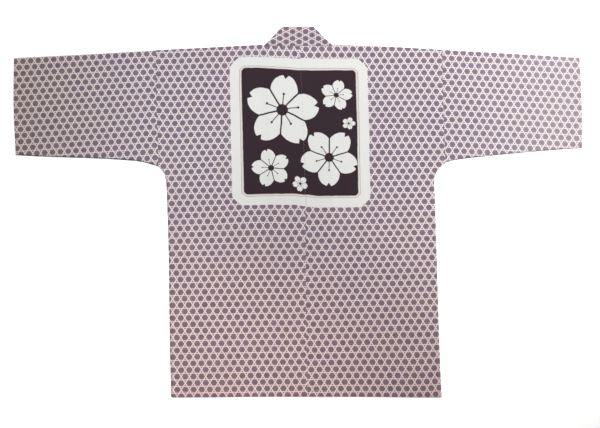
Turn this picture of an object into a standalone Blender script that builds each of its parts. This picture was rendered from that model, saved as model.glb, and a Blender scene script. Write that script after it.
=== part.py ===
"""Happi coat laid flat with its back up.

Every piece is a wall of cotton cloth. The two body lengths run from the front hem over the
shoulder to the back hem, the sleeves are flattened tubes, and one long collar band is folded
at both corners of the neck. X runs along the sleeves, Y towards the collar and Z up. The
origin is on the surface that the coat lies on, under the middle of its outline. Lengths in
this file are millimetres until the meshes are made.
"""

import math
from collections import namedtuple

import bmesh
import bpy

METRES = 0.001

# Thickness of the walls and the gap that sewn edges keep
CLOTH = 1.0
BAND = 2.0
SEAM_GAP = 0.3
NECK_SEAM_GAP = 0.6

# Heights of the middle of each wall above the surface
FRONT_HEIGHT = CLOTH / 2
BAND_HEIGHT = BAND / 2
SEWN_HEIGHT = CLOTH + SEAM_GAP + CLOTH / 2
OPEN_LIFT = 1.7
BAND_LIFT = 1.0
NECK_BAND_HEIGHT = 4.9

# How far from an edge the upper layer takes to rise
EDGE_REACH = 45
HEM_REACH = 120
CUFF_REACH = 70
BAND_REACH = 14
SLEEVE_EDGE_OPEN = 0.35
SIDE_EDGE_FADE = 60
HEM_OPEN = 0.1
CUFF_OPEN = 0.55

# Neck, hem and front edges
HEM_Y = -423.2
NECK_Y = 379.2
NECK_DROP = 5.1
COLLAR_TOP_Y = 425.4
CORNER_TURN = 48
FRONT_HEM_SET_BACK = 2.0

# Steps of the meshes: spans of rows as (from share, to share, steps), and columns
BACK_SPANS = ((0.0, 0.575, 17), (0.575, 0.675, 8), (0.675, 1.0, 10))
FRONT_SPANS = ((0.0, 0.575, 8), (0.575, 0.675, 8), (0.675, 1.0, 5))
SHOULDER_COLUMNS = 11
NECK_COLUMNS = 4
# A row's columns divide here, and above this share of the way up they draw in to the neck
COLUMN_DIVIDE = 0.75
COLUMN_BEND = 0.29
TURN_STEPS = 4
SLEEVE_STEPS = 13
SLEEVE_COLUMNS = 12
RUN_STEPS = 22
RUN_GROWTH = 1.3
NECK_STEPS = 8
BAND_COLUMNS = 3
SETTLE_ROUNDS = 4

Fold = namedtuple("Fold", "x y length bearing width rise")
Side = namedtuple("Side", "name outward shoulder sleeve_low cuff outer underarm neck_x run")
Run = namedtuple("Run", "sewn_neck free_neck sewn_hem free_hem")
Finish = namedtuple("Finish", "colour roughness")

# The largest soft folds of the upper layer. Bearing is in degrees from +X.
FOLDS = (
    Fold(x=-268, y=168, length=210, bearing=38, width=26, rise=0.55),
    Fold(x=249, y=218, length=210, bearing=-8, width=20, rise=0.90),
    Fold(x=-440, y=250, length=240, bearing=6, width=34, rise=0.45),
    Fold(x=470, y=215, length=260, bearing=-8, width=36, rise=0.45),
    Fold(x=-2, y=-40, length=300, bearing=88, width=18, rise=0.40),
    Fold(x=-170, y=-190, length=380, bearing=86, width=40, rise=0.45),
    Fold(x=205, y=-220, length=340, bearing=95, width=44, rise=0.45),
    Fold(x=-225, y=40, length=200, bearing=62, width=24, rise=0.40),
    Fold(x=250, y=30, length=220, bearing=116, width=26, rise=0.45),
)


def blend(a, b, share):
    return a + (b - a) * share


def ease(share):
    """A smooth step from 0 to 1."""
    share = min(max(share, 0.0), 1.0)
    return share * share * (3 - 2 * share)


class Edge:
    """A smooth line through a few (position, value) rows that doesn't overshoot them."""

    def __init__(self, *rows):
        self.rows = rows
        slopes = [(b[1] - a[1]) / (b[0] - a[0]) for a, b in zip(rows, rows[1:])]
        self.slopes = [slopes[0]]
        for before, after in zip(slopes, slopes[1:]):
            turns_back = before * after <= 0
            self.slopes.append(0.0 if turns_back else 2 * before * after / (before + after))
        self.slopes.append(slopes[-1])

    def at(self, position):
        last = len(self.rows) - 2
        index = 0
        while index < last and position > self.rows[index + 1][0]:
            index += 1
        (start, low), (end, high) = self.rows[index], self.rows[index + 1]
        span = end - start
        share = (position - start) / span
        if share < 0:
            return low + self.slopes[index] * (position - start)
        if share > 1:
            return high + self.slopes[index + 1] * (position - end)
        rest = 1 - share
        return (low * rest * rest * (1 + 2 * share)
                + high * share * share * (1 + 2 * rest)
                + span * share * rest * (self.slopes[index] * rest
                                         - self.slopes[index + 1] * share))


# Outline of the laid coat. Rows are (x, y), or (y, x) for the lines that run up the coat.
HEM = Edge((-276.2, -424.5), (-251.5, -424.9), (-35.1, -423.2), (119.5, -424.1),
           (305.0, -426.2), (321.8, -425.8))
CENTRE_SEAM = Edge((-422.3, 24.6), (-209.3, 21.4), (-5.0, 20.4), (378.2, 7.9))

LEFT = Side(
    name="left",
    outward=-1,
    shoulder=Edge((-652.0, 352.4), (-566.9, 357.1), (-456.5, 362.9), (-324.3, 371.0),
                  (-207.7, 376.7), (-77.6, 383.7)),
    sleeve_low=Edge((-638.6, 121.2), (-586.9, 118.2), (-450.3, 113.3), (-368.3, 108.7),
                    (-341.0, 104.0), (-313.5, 95.7)),
    # The cuff's rows are (share of the way from the upper fold to the lower edge, x)
    cuff=Edge((0.0, -652.0), (0.44, -649.1), (1.0, -638.6)),
    outer=Edge((-424.5, -276.2), (-320.9, -280.7), (-96.3, -287.5), (36.4, -293.7),
               (54.9, -294.9), (73.4, -298.2), (92.0, -309.6), (95.7, -313.5),
               (157.1, -316.2), (251.1, -320.8), (371.0, -324.3)),
    underarm=95.7,
    neck_x=-77.6,
    run=Run(sewn_neck=-72.6, free_neck=-30.0, sewn_hem=-31.4, free_hem=16.6),
)

RIGHT = Side(
    name="right",
    outward=1,
    shoulder=Edge((86.5, 383.7), (207.5, 378.9), (335.4, 371.2), (483.9, 362.6),
                  (650.6, 352.1)),
    sleeve_low=Edge((338.7, 105.9), (368.4, 111.0), (423.1, 117.5), (505.2, 126.8),
                    (587.4, 133.8), (650.6, 137.1)),
    cuff=Edge((0.0, 650.6), (0.47, 652.0), (1.0, 650.6)),
    outer=Edge((-425.8, 321.8), (-343.0, 319.4), (36.4, 313.5), (54.9, 312.4),
               (73.4, 314.5), (92.0, 323.5), (105.9, 338.7), (133.8, 337.9),
               (251.1, 335.6), (371.2, 335.4)),
    underarm=105.9,
    neck_x=86.5,
    run=Run(sewn_neck=81.5, free_neck=36.2, sewn_hem=80.6, free_hem=32.6),
)

COTTON = Finish(colour=(0.44, 0.36, 0.39, 1), roughness=0.9)
COLLAR_COTTON = Finish(colour=(0.47, 0.40, 0.43, 1), roughness=0.85)


def fold_rise(x, y):
    """Height that the soft folds add at a point of the upper layer."""
    total = 0.0
    for fold in FOLDS:
        bearing = math.radians(fold.bearing)
        along = (x - fold.x) * math.cos(bearing) + (y - fold.y) * math.sin(bearing)
        across = (y - fold.y) * math.cos(bearing) - (x - fold.x) * math.sin(bearing)
        taper = ease(1 - abs(along) / (fold.length / 2))
        total += fold.rise * taper * math.exp(-(across / fold.width) ** 2)
    return total


def band_edge(run, y, neck, hem):
    """X of one edge of a front band, which runs straight from the neck to the hem."""
    return blend(hem, neck, (y - HEM_Y) / (NECK_Y - HEM_Y))


def sewn_edge(side, y):
    return band_edge(side.run, y, side.run.sewn_neck, side.run.sewn_hem)


def free_edge(side, y):
    return band_edge(side.run, y, side.run.free_neck, side.run.free_hem)


def openness(side, x, y):
    """0 where the upper layer lies on the lower one at a seam, 1 where it is well clear."""
    past_armhole = (x - side.outer.at(y)) * side.outward > 0 and y > side.underarm
    edge_open = SLEEVE_EDGE_OPEN
    if past_armhole:
        edge_distance = y - side.sleeve_low.at(x)
    elif y > side.underarm:
        edge_distance = math.hypot(side.outer.at(y) - x, y - side.underarm)
    else:
        edge_distance = (side.outer.at(y) - x) * side.outward
        edge_open *= ease(1 - (side.underarm - y) / SIDE_EDGE_FADE)
    hem_distance = y - HEM.at(x)
    cuff_distance = (side.cuff.at(0.5) - x) * side.outward
    return (blend(edge_open, 1, ease(edge_distance / EDGE_REACH))
            * blend(HEM_OPEN, 1, ease(hem_distance / HEM_REACH))
            * blend(CUFF_OPEN, 1, ease(cuff_distance / CUFF_REACH)))


def upper_height(side, x, y):
    """Height of the middle of the upper layer: the coat's back and the sleeves' back."""
    left = sewn_edge(LEFT, y) - BAND_REACH
    right = sewn_edge(RIGHT, y) + BAND_REACH
    over_band = ease((x - left) / BAND_REACH) * ease((right - x) / BAND_REACH)
    lift = OPEN_LIFT + fold_rise(x, y)
    return SEWN_HEIGHT + BAND_LIFT * over_band + openness(side, x, y) * lift


def spread(spans):
    """Shares of the way from the hem to the shoulder, evenly spaced in each span."""
    shares = [spans[0][0]]
    for start, end, steps in spans:
        shares += [blend(start, end, step / steps) for step in range(1, steps + 1)]
    return shares


def settle(share, edge, top, bottom):
    """X where a line up the coat is crossed, a share of the way from bottom to top."""
    y = blend(HEM_Y, NECK_Y, share)
    for _ in range(SETTLE_ROUNDS):
        x = edge(y)
        y = blend(bottom(x), top(x), share)
    return x


def turn(height):
    """Steps round a fold whose layers' middles lie at FRONT_HEIGHT and height."""
    radius = (height - FRONT_HEIGHT) / 2
    for step in range(1, TURN_STEPS):
        angle = math.pi * step / TURN_STEPS
        yield radius * math.sin(angle), FRONT_HEIGHT + radius * (1 - math.cos(angle))


def body_points(side):
    """Rows of a body length, from the front hem over the shoulder to the back hem."""
    neck_line = NECK_Y - NECK_SEAM_GAP

    def shoulder_line(x):
        return side.shoulder.at(x) - NECK_DROP

    def front_hem(x):
        return HEM.at(x) + FRONT_HEM_SET_BACK

    def front_edge(y):
        return sewn_edge(side, y) + SEAM_GAP * side.outward

    def fold_point(x, reach, height):
        radius = (upper_height(side, x, shoulder_line(x)) - FRONT_HEIGHT) / 2
        return x, side.shoulder.at(x) - CLOTH / 2 - radius + reach, height

    columns = [index / SHOULDER_COLUMNS for index in range(SHOULDER_COLUMNS + 1)]
    beyond = [None] * NECK_COLUMNS
    rows = []
    for share in spread(FRONT_SPANS):
        outer_x = settle(share, side.outer.at, shoulder_line, front_hem)
        inner_x = settle(share, front_edge, shoulder_line, front_hem)
        if share == 1:
            inner_x = side.neck_x
        xs = [blend(outer_x, inner_x, column) for column in columns]
        rows.append([(x, blend(front_hem(x), shoulder_line(x), share), FRONT_HEIGHT)
                     for x in xs] + beyond)

    shoulder_xs = xs
    heights = [upper_height(side, x, shoulder_line(x)) for x in shoulder_xs]
    turns = [list(turn(height)) for height in heights]
    rows.append([fold_point(x, 0, FRONT_HEIGHT) for x in shoulder_xs] + beyond)
    for step in range(TURN_STEPS - 1):
        rows.append([fold_point(x, *turns[index][step])
                     for index, x in enumerate(shoulder_xs)] + beyond)
    rows.append([fold_point(x, 0, height) for x, height in zip(shoulder_xs, heights)] + beyond)

    for share in reversed(spread(BACK_SPANS)):
        outer_x = settle(share, side.outer.at, shoulder_line, HEM.at)
        seam_x = settle(share, CENTRE_SEAM.at, lambda x: neck_line, HEM.at)
        seam_x += side.outward * SEAM_GAP / 2
        bend = ease((share - COLUMN_BEND) / (1 - COLUMN_BEND))
        neck_x = blend(blend(outer_x, seam_x, COLUMN_DIVIDE), side.neck_x, bend)
        xs = [blend(outer_x, neck_x, column) for column in columns]
        row = [(x, blend(HEM.at(x), shoulder_line(x), share)) for x in xs]
        for index in range(1, NECK_COLUMNS + 1):
            x = blend(neck_x, seam_x, index / NECK_COLUMNS)
            row.append((x, blend(HEM.at(x), neck_line, share)))
        rows.append([(x, y, upper_height(side, x, y)) for x, y in row])
    return rows


def sleeve_points(side):
    """Rings of a sleeve, from the armhole to the cuff. Each starts at the lower edge."""
    shares = [index / SLEEVE_COLUMNS for index in range(SLEEVE_COLUMNS + 1)]

    def radius(x, y):
        return (upper_height(side, x, y) - FRONT_HEIGHT) / 2

    def ends(fold_x, edge_x):
        """Y of the middle of the wall at the upper fold and at the lower edge."""
        return side.shoulder.at(fold_x) - CLOTH / 2, side.sleeve_low.at(edge_x) + CLOTH / 2

    seam_x = side.outer.at(side.underarm)
    top, low = ends(side.outer.at(side.outer.rows[-1][0]), seam_x)
    seam_top = top - radius(side.outer.at(top), top)
    seam_low = low + radius(seam_x, low)

    def column_x(across, along):
        at_seam = side.outer.at(blend(seam_top, seam_low, across)) + side.outward * SEAM_GAP
        return blend(at_seam, side.cuff.at(across), along)

    rings = []
    for step in range(SLEEVE_STEPS + 1):
        along = step / SLEEVE_STEPS
        xs = [column_x(share, along) for share in shares]
        top, low = ends(xs[0], xs[-1])
        fold_height = upper_height(side, xs[0], top)
        edge_height = upper_height(side, xs[-1], low)
        fold_start = top - (fold_height - FRONT_HEIGHT) / 2
        edge_start = low + (edge_height - FRONT_HEIGHT) / 2
        ys = [blend(fold_start, edge_start, share) for share in shares]
        ring = [(x, y, FRONT_HEIGHT) for x, y in zip(reversed(xs), reversed(ys))]
        ring += [(xs[0], fold_start + reach, height) for reach, height in turn(fold_height)]
        for share, x, y in zip(shares, xs, ys):
            ring.append((x, y, upper_height(side, x, blend(top, low, share))))
        lower_turn = reversed(list(turn(edge_height)))
        ring += [(xs[-1], edge_start - reach, height) for reach, height in lower_turn]
        rings.append(ring)
    return rings


def collar_points():
    """Rows across the band: up one front, over the back of the neck and down the other."""

    def across(sewn, free, height):
        return [(blend(sewn[0], free[0], index / BAND_COLUMNS),
                 blend(sewn[1], free[1], index / BAND_COLUMNS), height)
                for index in range(BAND_COLUMNS + 1)]

    def front_run(side):
        rows = []
        for step in range(RUN_STEPS + 1):
            share = (step / RUN_STEPS) ** RUN_GROWTH
            sewn_y = blend(NECK_Y, HEM.at(side.run.sewn_hem) + FRONT_HEM_SET_BACK, share)
            free_y = sewn_y + (COLLAR_TOP_Y - NECK_Y) * ease(1 - (NECK_Y - sewn_y) / CORNER_TURN)
            free_x = free_edge(side, min(free_y, NECK_Y))
            rows.append(across((sewn_edge(side, sewn_y), sewn_y), (free_x, free_y), BAND_HEIGHT))
        return rows

    def corner(side):
        radius = (NECK_BAND_HEIGHT - BAND_HEIGHT) / 2
        rows = []
        for step in range(1, TURN_STEPS + 1):
            angle = math.pi * step / TURN_STEPS
            bulge = side.outward * radius * math.sin(angle) * math.sqrt(2)
            height = BAND_HEIGHT + radius * (1 - math.cos(angle))
            rows.append(across((side.run.sewn_neck + bulge, NECK_Y),
                               (side.run.free_neck + bulge, COLLAR_TOP_Y), height))
        return rows

    rows = list(reversed(front_run(LEFT))) + corner(LEFT)
    for step in range(1, NECK_STEPS):
        share = step / NECK_STEPS
        sewn_x = blend(LEFT.run.sewn_neck, RIGHT.run.sewn_neck, share)
        free_x = blend(LEFT.run.free_neck, RIGHT.run.free_neck, share)
        rows.append(across((sewn_x, NECK_Y), (free_x, COLLAR_TOP_Y), NECK_BAND_HEIGHT))
    return rows + list(reversed(corner(RIGHT))) + front_run(RIGHT)


def principled(name, finish):
    material = bpy.data.materials.new(name)
    material.use_nodes = True
    shader = material.node_tree.nodes["Principled BSDF"]
    shader.inputs["Base Color"].default_value = finish.colour
    shader.inputs["Roughness"].default_value = finish.roughness
    shader.inputs["Metallic"].default_value = 0.0
    return material


def cloth_piece(name, rows, ring, thickness, finish, collection):
    """An open sheet through rows of points, made a wall. None leaves the sheet out."""
    bm = bmesh.new()
    grid = [[point and bm.verts.new([value * METRES for value in point]) for point in row]
            for row in rows]
    for row, following in zip(grid, grid[1:]):
        for index in range(len(row) if ring else len(row) - 1):
            beside = (index + 1) % len(row)
            corners = (row[index], row[beside], following[beside], following[index])
            if all(corners):
                bm.faces.new(corners)
    bmesh.ops.recalc_face_normals(bm, faces=bm.faces)
    mesh = bpy.data.meshes.new(name)
    bm.to_mesh(mesh)
    bm.free()
    mesh.shade_smooth()
    mesh.materials.append(principled(name, finish))
    piece = bpy.data.objects.new(name, mesh)
    collection.objects.link(piece)
    wall = piece.modifiers.new("Wall", "SOLIDIFY")
    wall.thickness = thickness * METRES
    wall.offset = 0
    wall.use_even_offset = True
    wall.use_quality_normals = True
    return piece


def clear_scene():
    for old in list(bpy.data.objects):
        bpy.data.objects.remove(old, do_unlink=True)


def main():
    clear_scene()
    coat = bpy.data.collections.new("happi_coat")
    bpy.context.scene.collection.children.link(coat)
    for side in (LEFT, RIGHT):
        cloth_piece(f"body_{side.name}", body_points(side), False, CLOTH, COTTON, coat)
        cloth_piece(f"sleeve_{side.name}", sleeve_points(side), True, CLOTH, COTTON, coat)
    cloth_piece("collar", collar_points(), False, BAND, COLLAR_COTTON, coat)


main()
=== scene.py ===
"""Happi coat of dyed cotton, laid flat with its back up.

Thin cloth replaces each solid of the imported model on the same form: two body lengths, two
sleeves and the collar band, with their turned-up hems, seams, creases and stitches. X runs along
the sleeves, Y towards the collar and Z up. Lengths are millimetres until a mesh is made.
"""

import math
from collections import namedtuple
from functools import cache, partial

import bmesh
import bpy
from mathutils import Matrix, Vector, noise


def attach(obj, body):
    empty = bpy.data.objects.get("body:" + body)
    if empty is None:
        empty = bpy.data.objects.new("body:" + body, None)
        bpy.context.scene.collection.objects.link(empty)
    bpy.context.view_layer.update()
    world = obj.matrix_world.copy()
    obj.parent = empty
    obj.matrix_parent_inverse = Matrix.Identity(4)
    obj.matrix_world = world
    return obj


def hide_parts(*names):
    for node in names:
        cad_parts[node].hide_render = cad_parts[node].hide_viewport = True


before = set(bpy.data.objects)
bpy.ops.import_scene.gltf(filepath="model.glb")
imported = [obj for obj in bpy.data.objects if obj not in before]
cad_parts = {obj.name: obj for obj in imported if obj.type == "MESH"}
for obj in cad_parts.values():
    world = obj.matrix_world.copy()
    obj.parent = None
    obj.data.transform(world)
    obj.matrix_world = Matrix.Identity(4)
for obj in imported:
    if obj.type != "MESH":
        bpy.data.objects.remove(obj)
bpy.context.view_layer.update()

METRES = 0.001

# Cotton, its turned-up hems, the collar band, which is cloth doubled round a thin core, and
# the gaps at the seams
WALL = 0.5
TURN_UP_RADIUS = 0.275
TURN_UP_DEPTHS = (3.0, 8.0, 15.0)
BAND_HALF = 0.5
SEAM_GAP = 0.12
NECK_SEAM_GAP = 0.2

# Heights of the middle of each layer above the surface
FRONT_HEIGHT = WALL / 2
BAND_HEIGHT = 0.8
SEWN_HEIGHT = 1.8
OPEN_LIFT = 1.7
BAND_LIFT = 1.0
NECK_BAND_HEIGHT = 4.9

# How far from an edge the upper layer takes to rise, and the share of its height that it
# already has at the edge
EDGE_REACH = 45
HEM_REACH = 120
CUFF_REACH = 70
BAND_REACH = 14
SLEEVE_EDGE_OPEN = 0.7
SIDE_EDGE_FADE = 60
HEM_OPEN = 0.1
CUFF_OPEN = 0.55

# Neck, hem and front edges
HEM_Y = -423.2
NECK_Y = 379.2
NECK_DROP = 5.1
COLLAR_TOP_Y = 425.4
CORNER_TURN = 48
FRONT_HEM_SET_BACK = 2.0
SIDE_ROLL = 2.0
ROLL_REACH = 12
EDGE_LEAN = 2.0
EDGE_LEAN_REACH = 12
UNDER_CREASE_FADE = 8

# Seams: each edge turns down into the seam, and the allowance under it lifts a low welt
SEAM_DIP = 0.6
SEAM_DIP_REACH = 1.5
WELT_WIDTH = 9.0
WELT_RISE = 0.3
WELT_SLOPE = 3
PUCKER_RISE = 0.16
PUCKER_PITCH = 11.0
PUCKER_LENGTH = 3
PUCKER_REACH = 7.0
PUCKER_SEED = 4.0
CENTRE_PUCKERS_ON = 300
SEAM_PAST_UNDERARM = 6
CENTRE_SEAM_NEAR = 60
PANEL_SEAM_DEPTH = 0.2
PANEL_SEAM_FADE = 60
SIDE_WELT_RISE = 1.5
SIDE_WELT_INSET = 5.5
SIDE_WELT_REACH = 3.5
SIDE_WELT_START = 20

# Waves all over the upper layer: rise, pitch and seed
WAVES = ((0.22, 85, 1.0), (0.07, 26, 2.0))

# Steps of the meshes
CELL = 5.0
EDGE_STEPS = (0.7, 1.6, 3.0)
BODY_STEPS = 162
BODY_LENGTH = 800
SHOULDER_WIDTH = 250
NECK_WIDTH = 86
COLUMN_DIVIDE = 0.75
COLUMN_BEND = 0.29
TURN_STEPS = 8
ROUND_STEPS = 4
SLEEVE_LENGTH = 330
SLEEVE_WIDTH = 250
BAND_WIDTH = 48
SETTLE_ROUNDS = 4

# The dyed lattice: spacing of hexagons along a row and between rows, and widths of its lines
LATTICE_PITCH = 18.0
LATTICE_ROW = 14.45
ROW_LINE = 2.0
SLANT_LINE = 2.57

Crease = namedtuple("Crease", "x y length bearing width rise")
Pull = namedtuple("Pull", "x y length bearing width along up")
Grain = namedtuple("Grain", "x y bearing turn_across turn_up pitch row lean pulls")
Side = namedtuple("Side", "name outward shoulder sleeve_low cuff outer underarm neck_x run "
                          "body_grain sleeve_grain panel edge_shade")
Run = namedtuple("Run", "sewn_neck free_neck sewn_hem free_hem")
Spot = namedtuple("Spot", "x y z u v")

# Soft creases of the upper layer: the middle's x and y, length, bearing in
# degrees from +X, width and rise
CREASES = (
    Crease(-268, 168, 210, 38, 26, 0.55),
    Crease(245, 224, 230, -8.3, 20, 1.9),
    Crease(236, 186, 210, -8.3, 34, -0.9),
    Crease(-440, 250, 240, 6, 34, 0.45),
    Crease(470, 215, 260, -8, 36, 0.45),
    Crease(-170, -190, 380, 86, 40, 0.45),
    Crease(205, -220, 340, 95, 44, 0.45),
    Crease(-225, 40, 200, 62, 24, 0.40),
    Crease(250, 30, 220, 116, 26, 0.45),
    Crease(-14, -60, 150, 89, 7, 0.28),
    Crease(-47, -72, 120, 93, 6, 0.22),
    Crease(-392, 158, 120, -24, 10, 0.35),
    Crease(-528, 196, 150, 12, 12, 0.30),
    Crease(398, 170, 110, 22, 10, 0.32),
    Crease(560, 262, 130, -15, 12, 0.30),
    Crease(-120, -330, 170, 98, 12, 0.30),
    Crease(88, -318, 150, 84, 13, 0.30),
    Crease(240, -120, 120, 58, 10, 0.28),
    Crease(-232, -80, 140, 112, 11, 0.28),
)

# Softer, upward creases of the two fronts and the sleeves' lower layers, which lie underneath
LOWER_CREASES = (
    Crease(-180, 120, 300, 74, 30, 0.55),
    Crease(-230, -160, 260, 97, 26, 0.50),
    Crease(-120, -260, 180, 80, 14, 0.35),
    Crease(200, 150, 280, 104, 30, 0.55),
    Crease(240, -170, 280, 85, 28, 0.50),
    Crease(150, -300, 160, 99, 14, 0.35),
    Crease(-470, 215, 200, -9, 22, 0.40),
    Crease(490, 250, 210, 7, 22, 0.40),
)


def blend(a, b, share):
    return a + (b - a) * share


def ease(share):
    """A smooth step from 0 to 1."""
    share = min(max(share, 0.0), 1.0)
    return share * share * (3 - 2 * share)


class Edge:
    """A smooth line through a few (position, value) rows that doesn't overshoot them."""

    def __init__(self, *rows):
        self.rows = rows
        slopes = [(b[1] - a[1]) / (b[0] - a[0]) for a, b in zip(rows, rows[1:])]
        self.slopes = [slopes[0]]
        for before, after in zip(slopes, slopes[1:]):
            turns_back = before * after <= 0
            self.slopes.append(0.0 if turns_back else 2 * before * after / (before + after))
        self.slopes.append(slopes[-1])

    def at(self, position):
        last = len(self.rows) - 2
        index = 0
        while index < last and position > self.rows[index + 1][0]:
            index += 1
        (start, low), (end, high) = self.rows[index], self.rows[index + 1]
        span = end - start
        share = (position - start) / span
        if share < 0:
            return low + self.slopes[index] * (position - start)
        if share > 1:
            return high + self.slopes[index + 1] * (position - end)
        rest = 1 - share
        return (low * rest * rest * (1 + 2 * share)
                + high * share * share * (1 + 2 * rest)
                + span * share * rest * (self.slopes[index] * rest
                                         - self.slopes[index + 1] * share))


# Outline of the laid coat. Rows are (x, y), or (y, x) for the lines that run up the coat.
HEM = Edge((-276.2, -424.5), (-251.5, -424.9), (-35.1, -423.2), (119.5, -423.4),
           (305.0, -424.9), (321.8, -424.6))
CENTRE_SEAM = Edge((-422.3, 24.6), (-209.3, 21.4), (-5.0, 20.4), (378.2, 7.9))

# A grain's x and y are the middle of one hexagon, its bearing is the lattice rows' slope there,
# and its lean and the two turns, in degrees a metre, are how the cloth was laid askew. A pull is
# a place where it was also drawn a few millimetres along or up its own lattice.
# The panel is the middle of the back's dyed panel, in each length's own cloth coordinates, and
# edge_shade is how strong the painted shade, a grey line along the sleeve's lower edge, is.
LEFT = Side(
    name="left",
    outward=-1,
    shoulder=Edge((-652.0, 351.6), (-566.9, 356.0), (-456.5, 362.0), (-324.3, 370.0),
                  (-207.7, 376.2), (-77.6, 383.4)),
    sleeve_low=Edge((-638.6, 122.4), (-586.9, 119.6), (-450.3, 114.6), (-368.3, 109.2),
                    (-341.0, 104.2), (-313.5, 95.7)),
    # The cuff's rows are (share of the way from the upper fold to the lower edge, x)
    cuff=Edge((0.0, -650.9), (0.44, -648.4), (1.0, -639.2)),
    outer=Edge((-424.5, -276.2), (-320.9, -280.7), (-96.3, -287.5), (36.4, -293.7),
               (54.9, -294.9), (73.4, -298.2), (92.0, -309.6), (95.7, -313.5),
               (157.1, -316.2), (251.1, -320.8), (371.0, -324.3)),
    underarm=95.7,
    neck_x=-77.6,
    run=Run(sewn_neck=-72.6, free_neck=-30.0, sewn_hem=-31.4, free_hem=16.6),
    body_grain=Grain(-180.0, -117.9, 1.04, 1.31, 0.73, 17.95, 14.46, 0.44, (
        Pull(-26, 342, 59, 66, 210, -3.9, 7.4),
        Pull(-113, 365, 103, 0, 105, 1.3, -8.8),
        Pull(-82, -14, 96, 5, 38, 0.7, -4.3),
        Pull(-161, 289, 46, -10, 99, -1.1, 4.2),
        Pull(-279, 186, 26, -1, 86, -0.2, 2.4),
        Pull(-175, 92, 50, 23, 20, 0.0, -2.3),
        Pull(-15, -205, 27, 3, 262, -0.2, 1.2))),
    sleeve_grain=Grain(-481.0, 235.8, 3.69, 0.59, -1.78, 17.83, 14.51, -0.37, ()),
    panel=(196.7, 293.4),
    edge_shade=1.0,
)

RIGHT = Side(
    name="right",
    outward=1,
    shoulder=Edge((86.5, 383.7), (207.5, 378.9), (335.4, 371.2), (483.9, 362.6),
                  (650.6, 352.1)),
    sleeve_low=Edge((338.7, 105.9), (368.4, 112.4), (423.1, 119.0), (505.2, 127.4),
                    (587.4, 134.5), (650.6, 138.8)),
    cuff=Edge((0.0, 652.0), (0.47, 653.2), (1.0, 650.8)),
    outer=Edge((-425.8, 320.9), (-343.0, 318.4), (36.4, 313.0), (54.9, 312.4),
               (73.4, 314.5), (92.0, 323.5), (105.9, 338.7), (133.8, 337.9),
               (251.1, 335.6), (371.2, 335.4)),
    underarm=105.9,
    neck_x=86.5,
    run=Run(sewn_neck=81.5, free_neck=36.2, sewn_hem=80.6, free_hem=32.6),
    body_grain=Grain(156.7, -29.8, 1.19, -1.12, -1.64, 18.14, 14.35, 0.57, (
        Pull(212, 184, 94, 1, 30, -1.0, -3.9),
        Pull(278, -407, 133, 8, 102, -2.0, 5.8),
        Pull(250, 87, 290, 46, 108, 3.3, 1.4),
        Pull(33, 363, 123, 1, 41, -3.5, -0.9),
        Pull(335, 256, 21, 2, 112, 0.6, 1.8))),
    sleeve_grain=Grain(488.8, 241.4, -3.03, -0.49, -0.99, 17.69, 14.44, 2.34, ()),
    panel=(-142.9, 207.1),
    edge_shade=0.4,
)

# How far from the centre seam the panel's dye is drawn together
PANEL_MERGE = 30

# On the collar the lattice is turned a quarter: across the band it runs along the coat
COLLAR_HEXAGON = (5.9, 405.1)
COLLAR_ACROSS = LATTICE_PITCH / 16.3
COLLAR_ALONG = LATTICE_ROW / 14.9


def from_middle(mark, x, y):
    """How far a point is from a crease's or a pull's middle, along it and across it."""
    bearing = math.radians(mark.bearing)
    dx, dy = x - mark.x, y - mark.y
    return (dx * math.cos(bearing) + dy * math.sin(bearing),
            dy * math.cos(bearing) - dx * math.sin(bearing))


def on_cloth(grain, x, y):
    """Where a point of a laid piece is on its own cloth, along and up the lattice."""
    dx, dy = x - grain.x, y - grain.y
    u, v = from_middle(grain, x, y)
    across = math.radians(grain.turn_across) * METRES
    up = math.radians(grain.turn_up) * METRES
    u += across * dx * dy + up * dy * dy / 2 + math.tan(math.radians(grain.lean)) * dy
    v -= across * dx * dx / 2 + up * dx * dy
    u *= LATTICE_PITCH / grain.pitch
    v *= LATTICE_ROW / grain.row
    for pull in grain.pulls:
        along, beside = from_middle(pull, x, y)
        share = math.exp(-(along / pull.length) ** 2 - (beside / pull.width) ** 2)
        u += share * pull.along
        v += share * pull.up
    return u, v


def past_fold(grain, x, y, fold_y, arc):
    """The same for the layer under a fold at fold_y, whose bend takes up arc of the cloth."""
    fold_v = on_cloth(grain, x, fold_y)[1]
    u, v = on_cloth(grain, x, y)
    return u, 2 * fold_v + arc - v


def crease_rise(creases, x, y):
    """Height that soft creases add at a point."""
    total = 0.0
    for crease in creases:
        along, across = from_middle(crease, x, y)
        if abs(along) < crease.length / 2:
            taper = ease(1 - abs(along) / (crease.length / 2))
            total += crease.rise * taper * math.exp(-(across / crease.width) ** 2)
    return total


def ripple(x, y, pitch, seed):
    """Smooth, uneven waves between -1 and 1."""
    return noise.noise(Vector((x / pitch, y / pitch, seed)))


def band_edge(y, neck, hem):
    """X of one edge of a front band, which runs straight from the neck to the hem."""
    return blend(hem, neck, (y - HEM_Y) / (NECK_Y - HEM_Y))


def sewn_edge(side, y):
    return band_edge(y, side.run.sewn_neck, side.run.sewn_hem)


def free_edge(side, y):
    return band_edge(y, side.run.free_neck, side.run.free_hem)


def outer_edge(side, y):
    """X of a body length's outer edge: the armhole's seam line, and below it the side seam."""
    roll = SIDE_ROLL * ease((side.underarm - y) / ROLL_REACH)
    return side.outer.at(y) - side.outward * roll


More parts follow.
